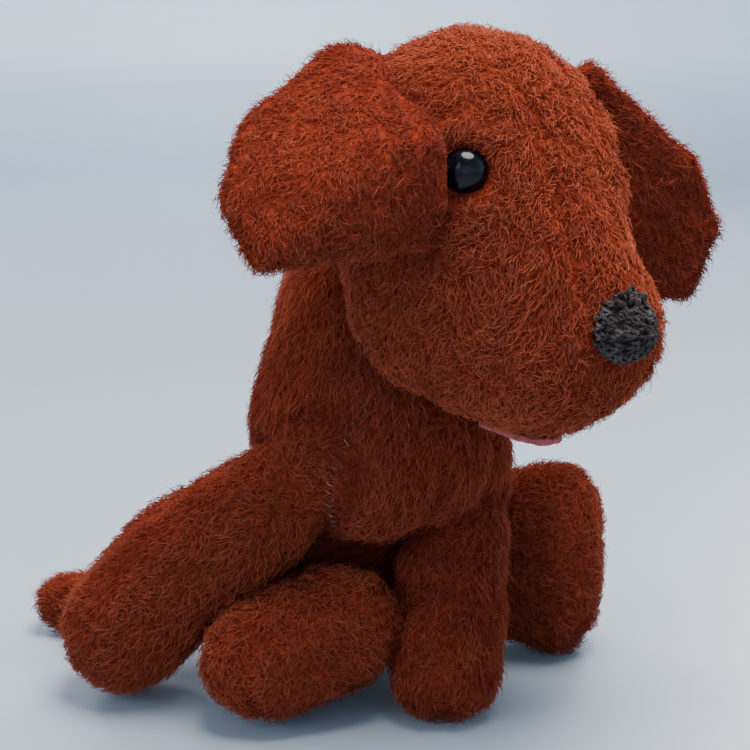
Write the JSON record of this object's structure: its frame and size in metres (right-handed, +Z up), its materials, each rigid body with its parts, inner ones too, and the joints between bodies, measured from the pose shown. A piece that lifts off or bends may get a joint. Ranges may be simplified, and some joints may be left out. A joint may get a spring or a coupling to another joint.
{
  "type": "plush dog",
  "caption": "Sitting stuffed dog with sewn-on head, flap ears, forelegs, hind legs and tail in curly pile fabric, glossy dome eyes and a knotted wool nose.",
  "frame": {"origin": "centre of the flat seat under the rump, on the floor the dog sits on", "axes": "+Z up; the dog looks along -Y, so its right side is -X and its left side is +X"},
  "size_m": [0.1689, 0.2336, 0.2222],
  "materials": {
    "pile_fabric": "curly wool pile, rust red",
    "stuffing": "loose fibre",
    "thread": "twisted sewing thread",
    "felt": "matt wool felt",
    "wool_yarn": "knotted wool yarn",
    "eye_plastic": "polished",
    "washer_plastic": "moulded"
  },
  "bodies": {
    "torso": {"body_side_right": "pile_fabric", "body_side_left": "pile_fabric", "belly_panel": "pile_fabric", "body_stuffing": "stuffing", "shoulder_stitches": "thread"},
    "head": {"head_side_right": "pile_fabric", "head_side_left": "pile_fabric", "head_gusset": "pile_fabric", "chin_panel": "pile_fabric", "head_stuffing": "stuffing", "eye_right": "eye_plastic", "eye_left": "eye_plastic", "eye_washer_right": "washer_plastic", "eye_washer_left": "washer_plastic", "nose_knot": "wool_yarn", "tongue": "felt"},
    "ear_right": {"ear_right_outer": "pile_fabric", "ear_right_lining": "pile_fabric", "ear_right_wadding": "stuffing"},
    "ear_left": {"ear_left_outer": "pile_fabric", "ear_left_lining": "pile_fabric", "ear_left_wadding": "stuffing"},
    "foreleg_right": {"foreleg_right_front": "pile_fabric", "foreleg_right_back": "pile_fabric", "foreleg_right_stuffing": "stuffing"},
    "foreleg_left": {"foreleg_left_front": "pile_fabric", "foreleg_left_back": "pile_fabric", "foreleg_left_stuffing": "stuffing"},
    "hindleg_right": {"hindleg_right_cover": "pile_fabric", "hindleg_right_sole": "pile_fabric", "hindleg_right_stuffing": "stuffing"},
    "hindleg_left": {"hindleg_left_cover": "pile_fabric", "hindleg_left_sole": "pile_fabric", "hindleg_left_stuffing": "stuffing"},
    "tail": {"tail_upper": "pile_fabric", "tail_lower": "pile_fabric", "tail_stuffing": "stuffing"}
  },
  "joints": [
    {"name": "head_turn", "type": "hinge", "parent": "torso", "child": "head", "pos_m": [0, -0.026, 0.126], "axis": [0, 0, 1], "range_deg": [-15, 15], "stiffness_Nm_per_rad": 0.6},
    {"name": "ear_right_flap", "type": "hinge", "parent": "head", "child": "ear_right", "pos_m": [-0.0178, -0.04602, 0.213], "axis": [0.3619, 0.5929, 0.7193], "range_deg": [-12, 12], "stiffness_Nm_per_rad": 0.06},
    {"name": "ear_left_flap", "type": "hinge", "parent": "head", "child": "ear_left", "pos_m": [0.0301, -0.0782, 0.205], "axis": [-0.0215, -0.0275, 0.9994], "range_deg": [-12, 12], "stiffness_Nm_per_rad": 0.06},
    {"name": "foreleg_right_lift", "type": "hinge", "parent": "torso", "child": "foreleg_right", "pos_m": [-0.031, -0.025, 0.079], "axis": [0.7682, 0.6402, 0], "range_deg": [-3, 28], "stiffness_Nm_per_rad": 0.6},
    {"name": "foreleg_left_lift", "type": "hinge", "parent": "torso", "child": "foreleg_left", "pos_m": [0.025, -0.048, 0.068], "axis": [-0.534, 0.8455, 0], "range_deg": [0, 22], "stiffness_Nm_per_rad": 1.5},
    {"name": "hindleg_right_swing", "type": "hinge", "parent": "torso", "child": "hindleg_right", "pos_m": [-0.02, -0.008, 0.024], "axis": [0, 0, -1], "range_deg": [-5, 6], "stiffness_Nm_per_rad": 1.5},
    {"name": "hindleg_left_swing", "type": "hinge", "parent": "torso", "child": "hindleg_left", "pos_m": [0.022, -0.007, 0.026], "axis": [0, 0, 1], "range_deg": [0, 12], "stiffness_Nm_per_rad": 1.5},
    {"name": "tail_swing", "type": "hinge", "parent": "torso", "child": "tail", "pos_m": [0, 0.03, 0.016], "axis": [0, 0, 1], "range_deg": [-20, 20], "stiffness_Nm_per_rad": 0.3}
  ]
}
